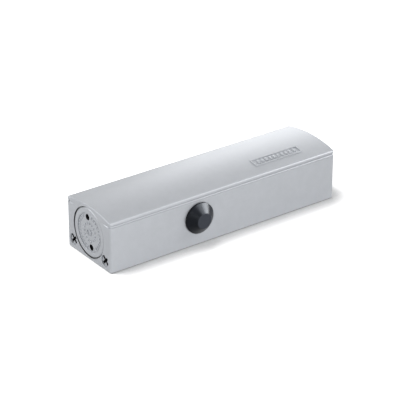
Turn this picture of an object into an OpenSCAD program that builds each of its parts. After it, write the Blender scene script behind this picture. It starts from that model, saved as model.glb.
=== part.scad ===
// Surface-mounted overhead door closer with a rack-and-pinion drive and
// hydraulic damping, without its arm.
// X runs along the body towards the spring end, Y runs along the pinion and
// Z points away from the door leaf. The origin is the foot of the pinion's
// axis on the flat mounting face.

/* [Body] */
// Length of the body along X
body_l = 220; // [214:1:240]
// Width of the body along Y
body_w = 60; // [59:0.5:64]
// Height of the crowned front above the mounting face
body_h = 47; // [46.6:0.1:50]
// Height of the crown's middle over the long edges
crown_rise = 4; // [3:0.1:6]
// Distance from the damping end of the body to the pinion's axis
pinion_from_end = 83.4; // [80:0.2:90]
// Radius of the four upright corners
corner_r = 2; // [1.5:0.5:4]
// Radius of the bead along the two long upper edges
bead_r = 1.8; // [1.2:0.1:2.2]
// How far the bead stands proud of the crown
bead_rise = 0.1; // [0.1:0.05:0.4]
// Radius that rounds the crown off at both ends
crown_round = 0.6; // [0.3:0.1:1.8]
// Radius that rounds the bead off at both ends
bead_round = 1.2; // [0.6:0.1:1.2]
// Chamfer round the mounting face
foot_chamfer = 0.8; // [0.4:0.1:1.2]
// Depth of the clearance pocket in the mounting face
relief_depth = 1; // [0.5:0.1:1.5]
// Width of the clearance pocket in the mounting face
relief_w = 30; // [20:1:34]

/* [Edge groove] */
// Distance from the long edges down to the middle of the groove
groove_drop = 3; // [2.9:0.1:5]
// Width of the groove
groove_w = 2.2; // [2:0.1:3.2]
// Depth of the groove
groove_depth = 1; // [0.4:0.1:1.1]
// How far the groove runs on round each corner before it fades out
groove_wrap = 9; // [6:0.5:12]

/* [Raised panel outline] */
// Length of the raised outline on the crown
panel_l = 47; // [40:0.5:60]
// Width of the raised outline on the crown
panel_w = 9.2; // [7:0.1:11]
// Distance from the pinion's axis to the middle of the outline
panel_x = 87.9; // [80:0.1:95]
// Distance from the middle of the crown to the middle of the outline
panel_y = 14.9; // [12:0.1:16]
// Width of the raised line
panel_line = 1.1; // [0.8:0.1:1.6]
// Height of the raised line over the crown
panel_rise = 0.6; // [0.3:0.05:0.7]

/* [Bore and end plugs] */
// Wall between an end plug's thread and the mounting face or the crown
plug_wall = 2.7; // [2.6:0.1:4]
// Radial step from the oil cylinder to the end plugs' threads
bore_step = 2.8; // [2.2:0.1:3.2]
// Length of the end plugs' threads
plug_thread_l = 9.5; // [8:0.5:10]
// Full depth of an end plug in the body
plug_l = 14; // [13.6:0.2:15]
// Radial step from the oil cylinder to the plugs' sealing spigot
spigot_step = 1.2; // [1:0.1:1.4]
// How far a plug's face lies below the end of the body
plug_sink = 0.3; // [0.1:0.1:0.6]
// Chamfer round a plug's face
plug_chamfer = 1; // [0.6:0.1:1.4]
// Width of the raised rim round a plug's face
plug_rim = 4.7; // [2.8:0.1:5]
// Depth of the dished middle of a plug's face
plug_dish = 0.5; // [0.3:0.1:0.8]
// Radial gap round a plug at the mouth of its thread
mouth_gap = 0.4; // [0.3:0.05:0.5]
// Depth of that gap
mouth_l = 1.6; // [1:0.1:2.2]
// Diameter of the two holes for a pin spanner
spanner_d = 5.2; // [4:0.2:6]
// Distance between the two holes for a pin spanner
spanner_pitch = 25; // [23:0.5:26]
// Depth of the holes for a pin spanner
spanner_depth = 5; // [4:0.5:6]
// Angle of the row of holes, from upright
spanner_angle = 10.5; // [0:0.5:90]
// Depth of the plugs' seal grooves
plug_seal_depth = 1.5; // [1.2:0.1:1.8]

/* [Pinion] */
// Module of the teeth
gear_module = 2; // [1.9:0.01:2.05]
// Number of teeth on the pinion
gear_teeth = 10; // [10:1:10]
// Pressure angle of the teeth
pressure_angle = 25; // [24.5:0.1:26]
// Height of a tooth over the pitch line, in modules
addendum = 0.85; // [0.8:0.01:0.86]
// Depth of a tooth gap below the pitch line, in modules
dedendum = 1.05; // [1.02:0.01:1.08]
// Play between the teeth along the pitch line
backlash = 0.12; // [0.08:0.01:0.2]
// Face width of the pinion's teeth
gear_w = 17; // [14:0.5:18]
// Diameter of the pinion's journals
journal_d = 15; // [14.2:0.1:15.2]
// Width across the flats of the square ends
square_af = 10; // [9:0.1:11]
// Diameter to which the corners of the square ends are turned
square_turned_d = 13; // [12.2:0.1:13.2]
// How far the square ends stand out of the body
square_rise = 5.2; // [4.4:0.1:5.4]
// Tapping diameter of the holes for the arm's screw
arm_screw_d = 6.8; // [5:0.1:7]
// Depth of the holes for the arm's screw
arm_screw_depth = 14; // [10:0.5:16]
// Largest opening angle of the door
opening_angle = 180; // [150:1:180]

/* [Pinion bearings] */
// Diameter of the two bores for the bearings
bearing_d = 24; // [23.9:0.05:24.4]
// Distance from the oil cylinder's wall to the inner end of a bearing bush
bush_lead = 0.2; // [0.1:0.1:0.6]
// Width of a shaft seal
seal_w = 3; // [2.6:0.1:3.1]
// Thickness of a retaining ring
ring_t = 1.2; // [1:0.1:1.3]
// Depth of a retaining ring's inner face below the side of the body
ring_inset = 3.6; // [3.5:0.1:4.5]
// Play along the shaft between a bush, its seal and its retaining ring
stack_gap = 0.2; // [0.1:0.05:0.3]
// Radial depth of a retaining ring's groove
ring_groove = 0.6; // [0.4:0.1:0.8]

/* [Piston] */
// Room between the piston and the end plug at the damping end
damp_room = 3.2; // [2:0.1:4]
// Share of the piston's head that lies behind the check valve's seat
check_seat_share = 0.38; // [0.36:0.01:0.42]
// Length of the piston's skirt at the spring end
skirt_l = 13; // [12:0.5:15]
// Room between the pinion's teeth and each end of the piston's window
window_gap = 1; // [0.6:0.1:1.4]
// Width of the rack
rack_w = 21; // [18:0.5:24]
// Width of the piston's ring grooves
piston_ring_w = 4; // [3:0.5:5]
// Depth of the piston's ring grooves
piston_ring_depth = 2; // [1.5:0.1:2.2]
// Length of the spigot that centres the inner spring
piston_spigot_l = 5; // [3:0.5:7]
// Diameter of the check valve's ball
check_ball_d = 6; // [5:0.1:6.4]
// Lift of the check valve's ball
check_lift = 1; // [0.6:0.1:1.2]
// Diameter of the two oil passages through the piston's skirt
skirt_vent_d = 5; // [4:0.5:6]
// Distance of those passages from the piston's axis
skirt_vent_y = 11.5; // [10:0.5:12]

/* [Springs] */
// Wire diameter of the outer closing spring
outer_wire = 4.4; // [4:0.1:4.5]
// Radial room between the outer closing spring and the cylinder
outer_spring_room = 0.7; // [0.6:0.1:1]
// Coils of the outer closing spring
outer_coils = 9; // [7:1:10]
// Wire diameter of the inner closing spring
inner_wire = 2.7; // [2.4:0.1:2.8]
// Radial room between the two closing springs
inner_spring_room = 1.2; // [1:0.1:1.4]
// Radial room between the inner closing spring and the hubs that centre it
hub_room = 0.9; // [0.7:0.1:1.2]
// Coils of the inner closing spring
inner_coils = 14; // [10:1:16]
// Gap between the coils that close each end of a spring
end_coil_gap = 0.6; // [0.5:0.05:1]

/* [Closing force adjuster] */
// Thread diameter of the adjusting spindle
spindle_d = 10; // [9:0.1:10.4]
// Diameter of the spindle's collar
collar_d = 16; // [14:0.5:17]
// Thickness of the spindle's collar
collar_t = 2.6; // [2:0.1:3]
// Thickness of the thrust washer behind the collar
washer_t = 1.5; // [1:0.1:2]
// Thickness of the spring plate
plate_t = 6; // [5:0.5:7]
// Travel of the spring plate over the whole range of adjustment
plate_travel = 10; // [6:0.5:12]
// Length of the spring plate's hub
plate_hub_l = 6; // [4:0.5:7]
// Width across the flats of the spindle's hexagon socket
hex_af = 5; // [4:0.5:6]
// Depth of the spindle's hexagon socket
hex_depth = 5; // [4:0.5:7]

/* [Regulating valves] */
// Distance from the side of the body to a valve's axis
valve_inset = 8; // [7.4:0.1:8.2]
// How far a valve screw's head lies below the end of the body
valve_sink = 0.9; // [0.2:0.1:1.2]
// Wall between a valve's head and the end plug
valve_wall = 0.6; // [0.5:0.05:1]
// Diameter of a valve screw's head
valve_head_d = 9.6; // [9:0.1:10]
// Length of a valve screw's head
valve_head_l = 6; // [5.6:0.2:7]
// Diameter of a valve screw's thread
valve_thread_d = 6; // [5:0.1:6.4]
// Length of a valve screw's thread
valve_thread_l = 7; // [6:0.2:7.4]
// Diameter of the needle behind the thread
needle_d = 3.4; // [3:0.1:3.8]
// Length of the needle with its cone
needle_l = 10; // [9:0.5:11]
// Length of the cross recess in a valve screw
cross_l = 9; // [8:0.1:9.1]
// Width of the cross recess in a valve screw
cross_w = 2.2; // [1.4:0.1:2.3]
// Depth of the cross recess in a valve screw
cross_depth = 2.4; // [1:0.1:2.8]

/* [Pinion cap] */
// Diameter of the cap's rim
cap_d = 26.2; // [25.6:0.1:27]
// Height of the cap's rim
cap_rim_h = 1.9; // [1.4:0.1:2.2]
// Diameter of the cap's flat top
cap_top_d = 12.6; // [11.5:0.1:13]
// Height of the cap over the body
cap_h = 7.6; // [6.8:0.1:8]
// Thickness of the cap's top
cap_wall = 1.4; // [1.2:0.1:1.5]
// Length of the cap's clip ring inside the bearing bore
clip_l = 2.1; // [1.8:0.1:2.2]
// Number of slots in the clip ring
clip_slots = 6; // [4:1:8]

/* [Fixing holes] */
// Tapping diameter of the four holes in the mounting face
fixing_d = 5; // [4.2:0.1:5.4]
// Depth of the four holes in the mounting face
fixing_depth = 9; // [7:0.5:9.5]
// Distance between the holes along the body
fixing_pitch_x = 176; // [170:1:178]
// Distance between the holes across the body
fixing_pitch_y = 31; // [30:0.5:32]
// Distance from the damping end of the body to the nearer row of holes
fixing_from_end = 23; // [22:0.5:24]
// Diameter of the oil filler plug
filler_d = 8; // [7:0.5:10]
// Distance from the pinion's axis to the oil filler plug
filler_x = 60; // [40:1:90]

/* [Clearances] */
// Radial clearance of a shaft or piston that runs in a bore
run_gap = 0.05; // [0.03:0.01:0.08]
// Clearance between pieces that are pressed or screwed together
seat_gap = 0.03; // [0.02:0.01:0.05]
// Clearance between the faces of pieces that move past each other
face_gap = 0.3; // [0.2:0.05:0.4]

/* [Hidden] */

$fn = 64;
crown_fn = 360;
silver = [0.74, 0.75, 0.77];
steel = [0.55, 0.56, 0.58];
black = [0.08, 0.08, 0.09];
rubber = [0.15, 0.15, 0.15];
brass = [0.75, 0.6, 0.3];

x_damp = -pinion_from_end;
x_spring = body_l - pinion_from_end;
half_w = body_w / 2;
edge_h = body_h - crown_rise;
crown_r = (half_w * half_w + crown_rise * crown_rise) / (2 * crown_rise);
crown_z = body_h - crown_r;

bead_y = half_w - bead_r;
bead_z = crown_z + sqrt(pow(crown_r - bead_r, 2) - bead_y * bead_y) + bead_rise;
groove_r = (groove_w * groove_w / 4 + groove_depth * groove_depth) / (2 * groove_depth);
groove_off = groove_r - groove_depth;
groove_z = edge_h - groove_drop;

bore_z = body_h / 2;
plug_r = bore_z - plug_wall;
bore_r = plug_r - bore_step;
spigot_r = bore_r + spigot_step;
oring_d = plug_seal_depth - seat_gap;
bearing_r = bearing_d / 2;
journal_r = journal_d / 2;

pitch_r = gear_module * gear_teeth / 2;
base_r = pitch_r * cos(pressure_angle);
tip_r = pitch_r + addendum * gear_module;
root_r = pitch_r - dedendum * gear_module;
rack_pitch = PI * gear_module;
stroke = pitch_r * opening_angle * PI / 180;
tooth_half = rack_pitch / 4 - backlash / 4;

piston_r = bore_r - run_gap;
window_x0 = -(stroke + tip_r + window_gap);
window_x1 = tip_r + window_gap;
window_z0 = bore_z - tip_r - window_gap;
rack_root_z = bore_z + pitch_r + dedendum * gear_module;
rack_tip_z = bore_z + pitch_r - addendum * gear_module;
piston_x0 = x_damp + plug_l + damp_room;
head_l = window_x0 - piston_x0;
piston_x1 = window_x1 + skirt_l;
groove_lead = 4;
seal_x = piston_x0 + groove_lead;
guide_x = piston_x1 - groove_lead - piston_ring_w;

check_r = check_ball_d / 2;
check_hole_r = check_r * 2 / 3;
check_room_r = check_r + 0.4;
check_seat_x = window_x0 - check_seat_share * head_l;
check_ball_x = check_seat_x - face_gap / 2 - sqrt(check_r * check_r - check_hole_r * check_hole_r);
check_stop_x = check_ball_x - check_r - check_lift - face_gap / 2;
check_insert_r = check_room_r + 1.1;
relief_r = 3;
relief_l = check_seat_x - piston_x0 - 1;
relief_off = 11;

spring_plug_x = x_spring - plug_l;
washer_x = spring_plug_x - seat_gap - washer_t;
collar_x = washer_x - face_gap - collar_t;
plate_x = collar_x - face_gap - plate_t;
spring_x0 = piston_x1 + face_gap;
spring_x1 = plate_x - face_gap;
spindle_r = spindle_d / 2;
spindle_x0 = plate_x - plate_travel - plate_hub_l - 1;
plate_r = bore_r - 0.1;
outer_spring_r = bore_r - outer_spring_room;
inner_spring_r = outer_spring_r - outer_wire - inner_spring_room;
inner_hub_r = inner_spring_r - inner_wire - hub_room;

ring_start = half_w - ring_inset;
seal_start = ring_start - stack_gap - seal_w;
bush_end = seal_start - stack_gap;
bush_start = bore_r + bush_lead;
clip_bead_y = half_w - 1.3;
clip_bead_h = 0.25;
clip_bead_half = 0.45;

valve_x0 = x_damp + valve_sink;
valve_y = half_w - valve_inset;
valve_reach = plug_r + mouth_gap + valve_wall + valve_head_d / 2 + run_gap;
valve_z = bore_z - sqrt(valve_reach * valve_reach - valve_y * valve_y);
valve_port_r = 1.25;
valve_thread_x = valve_x0 + valve_head_l + valve_thread_l;
needle_tip_x = valve_thread_x + needle_l;
valve_step_x = needle_tip_x - 2.5;
damp_port_x = x_damp + plug_l + 1.6;
pinion_port_x = -tip_r + valve_port_r;

filler_r = filler_d / 2;
fixing_x = x_damp + fixing_from_end;

// Cylinder between two places along X
module x_rod(x0, x1, d, y = 0, z = bore_z) {
    translate([x0, y, z]) rotate([0, 90, 0]) cylinder(d = d, h = x1 - x0);
}

// Cylinder between two places along Y
module y_rod(y0, y1, d, x = 0, z = bore_z) {
    translate([x, y0, z]) rotate([-90, 0, 0]) cylinder(d = d, h = y1 - y0);
}

// Piece turned about an axis along X, from points given as [radius, x]
module turned_x(points, y = 0, z = bore_z) {
    translate([0, y, z]) rotate([0, 90, 0]) rotate_extrude() polygon(points);
}

// Piece turned about the pinion's axis, from points given as [radius, y]
module turned_y(points) {
    translate([0, 0, bore_z]) rotate([-90, 0, 0]) rotate_extrude() polygon(points);
}

// Rubber ring about an axis along X
module seal_ring(x, ring_r, section_d, y = 0, z = bore_z) {
    translate([x, y, z]) rotate([0, 90, 0])
        rotate_extrude() translate([ring_r, 0]) circle(d = section_d, $fn = 24);
}

// The same shape on both sides of the body's middle plane
module both_sides() {
    children();
    mirror([0, 1, 0]) children();
}

// Upright section, chamfered where it meets the mounting face
module foot_section(w) {
    half = w / 2;
    polygon([
        [foot_chamfer - half, 0], [half - foot_chamfer, 0], [half, foot_chamfer],
        [half, body_h + 1], [-half, body_h + 1], [-half, foot_chamfer]
    ]);
}

// Upright block with the body's plan, rounded corners and a chamfered foot
module plan_block() {
    straight_l = body_l - 2 * corner_r;
    straight_w = body_w - 2 * corner_r;
    translate([x_damp + corner_r, -straight_w / 2, 0])
        for (x = [0, straight_l], y = [0, straight_w])
            translate([x, y, 0]) rotate_extrude() intersection() {
                foot_section(2 * corner_r);
                square([corner_r, body_h + 1]);
            }
    translate([x_damp + corner_r, 0, 0]) rotate([90, 0, 90])
        linear_extrude(straight_l) foot_section(body_w);
    translate([x_damp + body_l / 2, straight_w / 2, 0]) rotate([90, 0, 0])
        linear_extrude(straight_w) foot_section(body_l);
}

// Profile from r_in to r_out, as [radius, x], with both outer corners rounded
module rounded_profile(r_in, r_out, round) {
    intersection() {
        union() {
            translate([r_in, x_damp]) square([r_out - r_in - round, body_l]);
            translate([r_in, x_damp + round]) square([r_out - r_in, body_l - 2 * round]);
            for (x = [x_damp + round, x_spring - round])
                translate([r_out - round, x]) circle(r = round, $fn = 32);
        }
        translate([r_in, x_damp]) square([r_out - r_in, body_l]);
    }
}

// Crown of the front: an arc across the body, rounded off at both ends
module crown() {
    translate([0, 0, crown_z]) rotate([0, 90, 0])
        rotate_extrude($fn = crown_fn)
            rounded_profile((crown_r - body_h) / 2, crown_r, crown_round);
}

// Outside of the body with the beads along its long edges
module body_shape() {
    intersection() {
        plan_block();
        union() {
            intersection() {
                crown();
                union() {
                    translate([x_damp, -half_w, 0]) cube([body_l, body_w, bead_z]);
                    translate([x_damp, -bead_y, 0]) cube([body_l, 2 * bead_y, body_h]);
                }
            }
            both_sides() translate([0, bead_y, bead_z]) rotate([0, 90, 0])
                rotate_extrude() rounded_profile(0, bead_r, bead_round);
        }
    }
}

// Groove below one long edge, turning both corners and fading on the ends
module edge_groove() {
    straight_x0 = x_damp + corner_r;
    straight_x1 = x_spring - corner_r;
    x_rod(straight_x0, straight_x1, 2 * groove_r, half_w + groove_off, groove_z);
    translate([straight_x0, half_w - corner_r, groove_z]) groove_corner();
    translate([straight_x1, half_w - corner_r, groove_z]) mirror([1, 0, 0]) groove_corner();
}

// One corner of the groove with its run-out on the end of the body
module groove_corner() {
    fade = atan(groove_depth / groove_wrap);
    rotate([0, 0, 90]) rotate_extrude(angle = 90)
        translate([corner_r + groove_off, 0]) circle(r = groove_r);
    translate([-corner_r - groove_off, 0, 0]) rotate([90, 0, -fade])
        cylinder(r = groove_r, h = groove_wrap * 1.5);
}

// Raised outline on the crown
module panel_outline() {
    intersection() {
        translate([panel_x, -panel_y, edge_h - 2]) difference() {
            translate([-panel_l / 2, -panel_w / 2, 0]) cube([panel_l, panel_w, crown_rise + 4]);
            translate([-panel_l / 2 + panel_line, -panel_w / 2 + panel_line, -1])
                cube([panel_l - 2 * panel_line, panel_w - 2 * panel_line, crown_rise + 6]);
        }
        x_rod(panel_x - panel_l, panel_x + panel_l, 2 * (crown_r + panel_rise), 0, crown_z,
            $fn = crown_fn);
    }
}

// Stepped bore for an end plug, seen from the end of the body
module plug_bore(end_x, inward) {
    mirror([inward > 0 ? 0 : 1, 0, 0]) {
        x0 = inward * end_x;
        x_rod(x0 - 1, x0 + mouth_l, 2 * (plug_r + mouth_gap));
        x_rod(x0, x0 + plug_thread_l + plug_sink, 2 * (plug_r + seat_gap));
        x_rod(x0, x0 + plug_l, 2 * (spigot_r + seat_gap));
    }
}

// Hole for a regulating valve with its two oil ports
module valve_bore() {
    port_angle = atan2(bore_z - valve_z, valve_y);
    x_rod(x_damp - 1, valve_x0 + valve_head_l + face_gap, valve_head_d + 2 * run_gap,
        valve_y, valve_z);
    x_rod(x_damp, valve_step_x, valve_thread_d + 2 * run_gap, valve_y, valve_z);
    x_rod(x_damp, pinion_port_x + 2 * valve_port_r, 2 * valve_port_r, valve_y, valve_z);
    for (x = [damp_port_x, pinion_port_x])
        translate([x, valve_y, valve_z]) rotate([0, 0, 90]) rotate([0, -90 + port_angle, 0])
            cylinder(r = valve_port_r, h = norm([valve_y, bore_z - valve_z]) - bore_r + 1);
}

module housing() {
    color(silver) difference() {
        union() {
            body_shape();
            panel_outline();
        }
        both_sides() edge_groove();
        x_rod(x_damp + plug_l - 1, x_spring - plug_l + 1, 2 * bore_r);
        plug_bore(x_damp, 1);
        plug_bore(x_spring, -1);
        y_rod(-half_w - 1, half_w + 1, bearing_d);
        both_sides() {
            y_rod(ring_start - 0.1, ring_start + ring_t + 0.1, bearing_d + 2 * ring_groove);
            y_rod(clip_bead_y - clip_bead_half - 0.2, clip_bead_y + clip_bead_half + 0.2,
                bearing_d + 2 * clip_bead_h);
            valve_bore();
            for (x = [fixing_x, fixing_x + fixing_pitch_x])
                translate([x, fixing_pitch_y / 2, -1]) cylinder(d = fixing_d, h = fixing_depth + 1);
        }
        translate([bearing_r, -relief_w / 2, -1])
            cube([fixing_x + fixing_pitch_x - 2 * bearing_r, relief_w, relief_depth + 1]);
        translate([filler_x, 0, 0]) {
            cylinder(r = filler_r + seat_gap, h = relief_depth + 3.1);
            cylinder(r = filler_r / 2, h = bore_z);
        }
    }
}

// Turned body of an end plug, from its face inwards, with an optional hole
module plug_body(end_x, inward, hole_r = 0) {
    f = end_x + inward * plug_sink;
    dish_r = plug_r - plug_rim;
    groove_x = end_x + inward * (plug_l - 1.1);
    inner = end_x + inward * plug_l;
    difference() {
        turned_x([
            [hole_r, f + inward * plug_dish], [dish_r, f + inward * plug_dish], [dish_r, f],
            [plug_r - plug_chamfer, f], [plug_r, f + inward * plug_chamfer],
            [plug_r, end_x + inward * plug_thread_l], [spigot_r, end_x + inward * plug_thread_l],
            [spigot_r, groove_x - inward * (plug_seal_depth + 0.2)],
            [spigot_r - plug_seal_depth, groove_x - inward * (plug_seal_depth + 0.2)],
            [spigot_r - plug_seal_depth, groove_x], [spigot_r, groove_x],
            [spigot_r, inner], [hole_r, inner]
        ]);
        for (side = [-1, 1])
            translate([f, 0, bore_z]) rotate([-spanner_angle, 0, 0])
                translate([0, 0, side * spanner_pitch / 2]) rotate([0, inward * 90, 0])
                    translate([0, 0, -1]) cylinder(d = spanner_d, h = spanner_depth + 1);
    }
}

module end_plug() {
    color(silver) plug_body(x_damp, 1);
}

module spring_end_plug() {
    color(silver) plug_body(x_spring, -1, spindle_r + run_gap);
}

module plug_seals() {
    seal_in = plug_l - 1.1 - (plug_seal_depth + 0.2) / 2;
    color(rubber) for (x = [x_damp + seal_in, x_spring - seal_in])
        seal_ring(x, spigot_r - plug_seal_depth / 2 + seat_gap / 2, oring_d);
}

module pinion_bushes() {
    color(brass) both_sides() turned_y([
        [journal_r + run_gap, bush_start], [bearing_r - seat_gap, bush_start],
        [bearing_r - seat_gap, bush_end], [journal_r + run_gap, bush_end]
    ]);
}

module shaft_seals() {
    case_r = bearing_r - seat_gap;
    lip_r = journal_r + run_gap;
    color(rubber) both_sides() turned_y([
        [case_r, seal_start], [case_r, seal_start + seal_w],
        [lip_r + 0.4, seal_start + seal_w], [lip_r + 0.4, seal_start + seal_w - 0.9],
        [lip_r, seal_start + seal_w - 1.5], [lip_r + 0.9, seal_start + 0.2],
        [lip_r + 1.6, seal_start + seal_w - 1.2], [case_r - 1.1, seal_start + seal_w - 1.2],
        [case_r - 1.1, seal_start]
    ]);
}

// Internal retaining ring with two lugs for pliers
module retaining_ring_shape() {
    outer_r = bearing_r + ring_groove - 0.1;
    inner_r = bearing_r - 1.2;
    lug_r = 1.7;
    lug_at = bearing_r - 1.9;
    gap = 14;
    difference() {
        union() {
            difference() {
                circle(r = outer_r);
                circle(r = inner_r);
                polygon([[0, 0], [2 * outer_r, -2 * outer_r * tan(gap)],
                    [2 * outer_r, 2 * outer_r * tan(gap)]]);
            }
            for (side = [-1, 1]) rotate(side * (gap + 6)) translate([lug_at, 0]) circle(r = lug_r);
        }
        for (side = [-1, 1]) rotate(side * (gap + 6)) translate([lug_at, 0]) circle(r = lug_r / 2);
    }
}

module retaining_rings() {
    color(steel) both_sides() translate([0, ring_start, bore_z]) rotate([-90, 0, 0])
        linear_extrude(ring_t) retaining_ring_shape();
}

module pinion_cap() {
    cap_r = cap_d / 2;
    top_r = cap_top_d / 2;
    clip_r = bearing_r - 0.15;
    clip_wall = 1.25;
    f = half_w;
    color(black) mirror([0, 1, 0]) difference() {
        turned_y([
            [0, f + cap_h - cap_wall], [top_r + 0.9, f + cap_h - cap_wall],
            [clip_r - clip_wall, f + cap_rim_h - 0.3], [clip_r - clip_wall, f - clip_l],
            [clip_r, f - clip_l], [clip_r, clip_bead_y - clip_bead_half],
            [bearing_r + clip_bead_h - 0.1, clip_bead_y],
            [clip_r, clip_bead_y + clip_bead_half], [clip_r, f], [cap_r, f],
            [cap_r, f + cap_rim_h - 0.4], [cap_r - 0.4, f + cap_rim_h],
            [top_r + 0.3, f + cap_h - 0.15], [top_r, f + cap_h], [0, f + cap_h]
        ]);
        for (i = [0 : clip_slots - 1])
            translate([0, f - clip_l - 1, bore_z]) rotate([0, i * 360 / clip_slots + 15, 0])
                translate([-0.8, 0, 0]) cube([1.6, clip_l + 1 - 0.3, bearing_d]);
    }
}

module filler_plug() {
    color(steel) difference() {
        translate([filler_x, 0, relief_depth]) cylinder(r = filler_r, h = 3);
        translate([filler_x, 0, 0]) cylinder(d = filler_d / 2, h = relief_depth + 2, $fn = 6);
    }
}

// Involute of the base circle, as an angle at a radius
function involute(r) = let (a = acos(base_r / r)) tan(a) * 180 / PI - a;

// Half the angle of a pinion tooth at a radius
function tooth_angle(r) =
    tooth_half / pitch_r * 180 / PI + involute(pitch_r) - involute(max(r, base_r));

flank_steps = 6;
flank = [for (i = [0 : flank_steps]) base_r + (tip_r - base_r) * i / flank_steps];

// Outline of the pinion, with a gap between teeth facing the rack
function pinion_outline() = [
    for (t = [0 : gear_teeth - 1]) let (mid = 90 + (t + 0.5) * 360 / gear_teeth)
        for (p = concat(
            [[root_r, mid - tooth_angle(base_r) - 1]],
            [for (r = flank) [r, mid - tooth_angle(r)]],
            [for (i = [flank_steps : -1 : 0]) [flank[i], mid + tooth_angle(flank[i])]],
            [[root_r, mid + tooth_angle(base_r) + 1]]))
            p[0] * [cos(p[1]), sin(p[1])]
];

module pinion_shaft() {
    end_y = half_w + square_rise;
    journal_end = half_w - 0.6;
    chamfer = 0.6;
    color(steel) difference() {
        union() {
            translate([0, gear_w / 2, bore_z]) rotate([90, 0, 0])
                linear_extrude(gear_w) polygon(pinion_outline());
            y_rod(-bush_start + face_gap, bush_start - face_gap, 2 * root_r - 0.4);
            y_rod(-journal_end, journal_end, journal_d);
            intersection() {
                translate([-square_af / 2, -end_y, bore_z - square_af / 2])
                    cube([square_af, 2 * end_y, square_af]);
                turned_y([
                    [0, -end_y], [square_turned_d / 2 - chamfer, -end_y],
                    [square_turned_d / 2, -end_y + chamfer], [square_turned_d / 2, end_y - chamfer],
                    [square_turned_d / 2 - chamfer, end_y], [0, end_y]
                ]);
            }
        }
        both_sides() y_rod(end_y - arm_screw_depth, end_y + 1, arm_screw_d);
    }
}

// Teeth of the rack that hangs over the piston's window
module rack() {
    first = -ceil((stroke + rack_pitch / 2) / rack_pitch);
    slope = tan(pressure_angle);
    half_tip = tooth_half - addendum * gear_module * slope;
    half_root = tooth_half + dedendum * gear_module * slope;
    for (k = [first : 1])
        translate([k * rack_pitch, rack_w / 2, 0]) rotate([90, 0, 0]) linear_extrude(rack_w)
            polygon([
                [-half_root, rack_root_z], [-half_root, rack_root_z + 1],
                [half_root, rack_root_z + 1], [half_root, rack_root_z],
                [half_tip, rack_tip_z], [-half_tip, rack_tip_z]
            ]);
}

module piston() {
    chamfer = 0.8;
    groove_r_in = piston_r - piston_ring_depth;
    color(steel) difference() {
        turned_x([
            [0, piston_x0], [piston_r - chamfer, piston_x0], [piston_r, piston_x0 + chamfer],
            [piston_r, seal_x], [groove_r_in, seal_x],
            [groove_r_in, seal_x + piston_ring_w], [piston_r, seal_x + piston_ring_w],
            [piston_r, guide_x], [groove_r_in, guide_x],
            [groove_r_in, guide_x + piston_ring_w], [piston_r, guide_x + piston_ring_w],
            [piston_r, piston_x1 - chamfer], [piston_r - chamfer, piston_x1],
            [inner_hub_r, piston_x1], [inner_hub_r, piston_x1 + piston_spigot_l],
            [0, piston_x1 + piston_spigot_l]
        ]);
        difference() {
            translate([window_x0, -bore_r, window_z0])
                cube([window_x1 - window_x0, 2 * bore_r, rack_root_z - window_z0]);
            rack();
        }
        x_rod(piston_x0 - 1, check_stop_x, 2 * (check_insert_r + seat_gap));
        x_rod(piston_x0, check_seat_x, 2 * check_room_r);
        x_rod(piston_x0, window_x0 + 1, 2 * check_hole_r);
        x_rod(piston_x0 - 1, piston_x0 + relief_l + 0.5, 2 * (relief_r + seat_gap),
            0, bore_z - relief_off);
        x_rod(piston_x0, window_x0 + 1, relief_r, 0, bore_z - relief_off);
        both_sides() x_rod(window_x1 - 1, piston_x1 + 1, skirt_vent_d, skirt_vent_y);
    }
}

// Square-section ring that fills one of the piston's grooves
module piston_ring(x) {
    outer = bore_r - seat_gap;
    inner = piston_r - piston_ring_depth + seat_gap;
    turned_x([
        [inner, x + seat_gap], [outer - 0.4, x + seat_gap], [outer, x + 0.6],
        [outer, x + piston_ring_w - 0.6], [outer - 0.4, x + piston_ring_w - seat_gap],
        [inner, x + piston_ring_w - seat_gap]
    ]);
}

module piston_seal() {
    color(rubber) piston_ring(seal_x);
}

module piston_guide_ring() {
    color(brass) piston_ring(guide_x);
}

module check_ball() {
    color(steel) translate([check_ball_x, 0, bore_z]) sphere(r = check_r);
}

module check_valve_insert() {
    vent_d = 1.6;
    color(brass) difference() {
        x_rod(piston_x0 + 0.5, check_stop_x, 2 * check_insert_r);
        for (i = [0 : 2])
            translate([0, 0, bore_z]) rotate([i * 120, 0, 0])
                translate([piston_x0, 0, check_room_r - vent_d / 2 - 0.2])
                    rotate([0, 90, 0]) cylinder(d = vent_d, h = head_l);
        translate([piston_x0, -check_insert_r, bore_z - 0.6]) cube([1.7, 2 * check_insert_r, 1.2]);
    }
}

module relief_valve() {
    color(brass) difference() {
        x_rod(piston_x0 + 0.5, piston_x0 + 0.5 + relief_l, 2 * relief_r, 0, bore_z - relief_off);
        x_rod(piston_x0, piston_x0 + relief_l + 1, relief_r, 0, bore_z - relief_off);
    }
}

// Height of a coil spring's wire after a number of turns, with closed end coils
function coil_x(turn, turns, l, wire) =
    let (close = wire + end_coil_gap,
         free = (l - wire - 2 * close) / (turns - 2),
         middle = min(max(turn - 1, 0), turns - 2))
    wire / 2 + close * (min(turn, 1) + max(turn - turns + 1, 0)) + free * middle;

coil_rings = 12;
wire_sides = 6;

// Rings of points along a coil spring's wire, about the X axis
function coil_points(turns, l, wire, coil_r) = [
    for (i = [0 : turns * coil_rings], s = [0 : wire_sides - 1])
        let (a = i * 360 / coil_rings, b = s * 360 / wire_sides,
             r = coil_r + wire / 2 * cos(b))
            [coil_x(i / coil_rings, turns, l, wire) + wire / 2 * sin(b), r * cos(a), r * sin(a)]
];

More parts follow.
